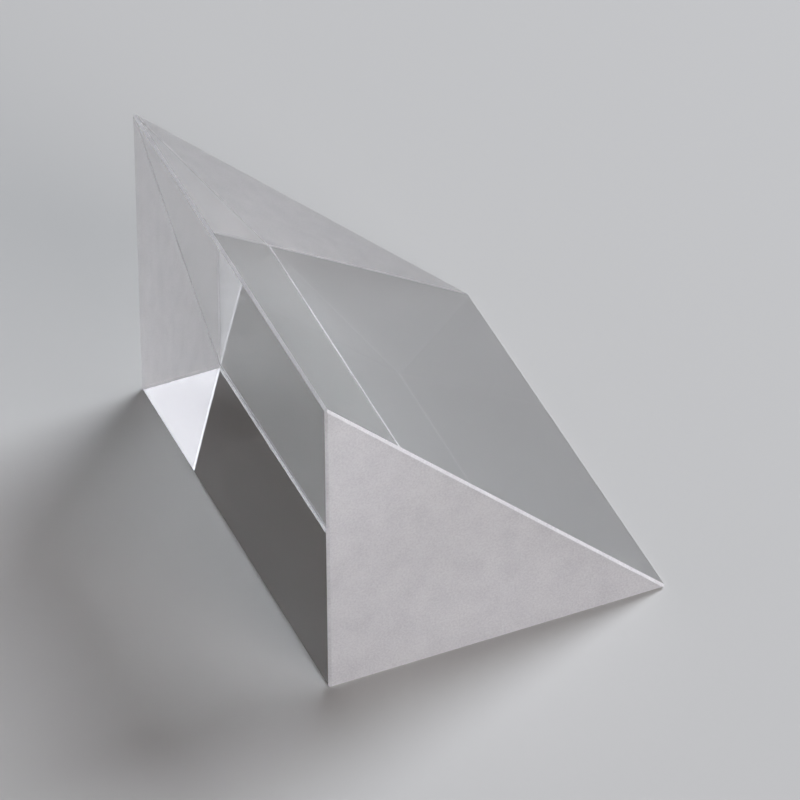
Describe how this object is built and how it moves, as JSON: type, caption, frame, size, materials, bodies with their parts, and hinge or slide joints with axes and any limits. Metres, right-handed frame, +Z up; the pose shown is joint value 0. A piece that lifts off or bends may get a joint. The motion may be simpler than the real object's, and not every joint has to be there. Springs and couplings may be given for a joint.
{
  "type": "right angle prism",
  "caption": "Solid glass right angle prism with polished leg and hypotenuse faces, fine-ground triangular ends and narrow ground bevels, for bending a beam of light.",
  "frame": {"origin": "middle of the leg face that the prism lies on, between the sharp corners of the section", "axes": "+Z up, square to the leg face below; +Y along the length of the prism; +X from the right angle edge towards the 45 degree edge, so the other leg face looks towards -X and the hypotenuse face looks towards +X and +Z"},
  "size_m": [0.0297, 0.04, 0.0297],
  "materials": {
    "optical_glass": "colourless crown glass: three long faces polished, triangular ends and bevels fine-ground"
  },
  "bodies": {
    "root": {"prism": "optical_glass"}
  },
  "joints": []
}
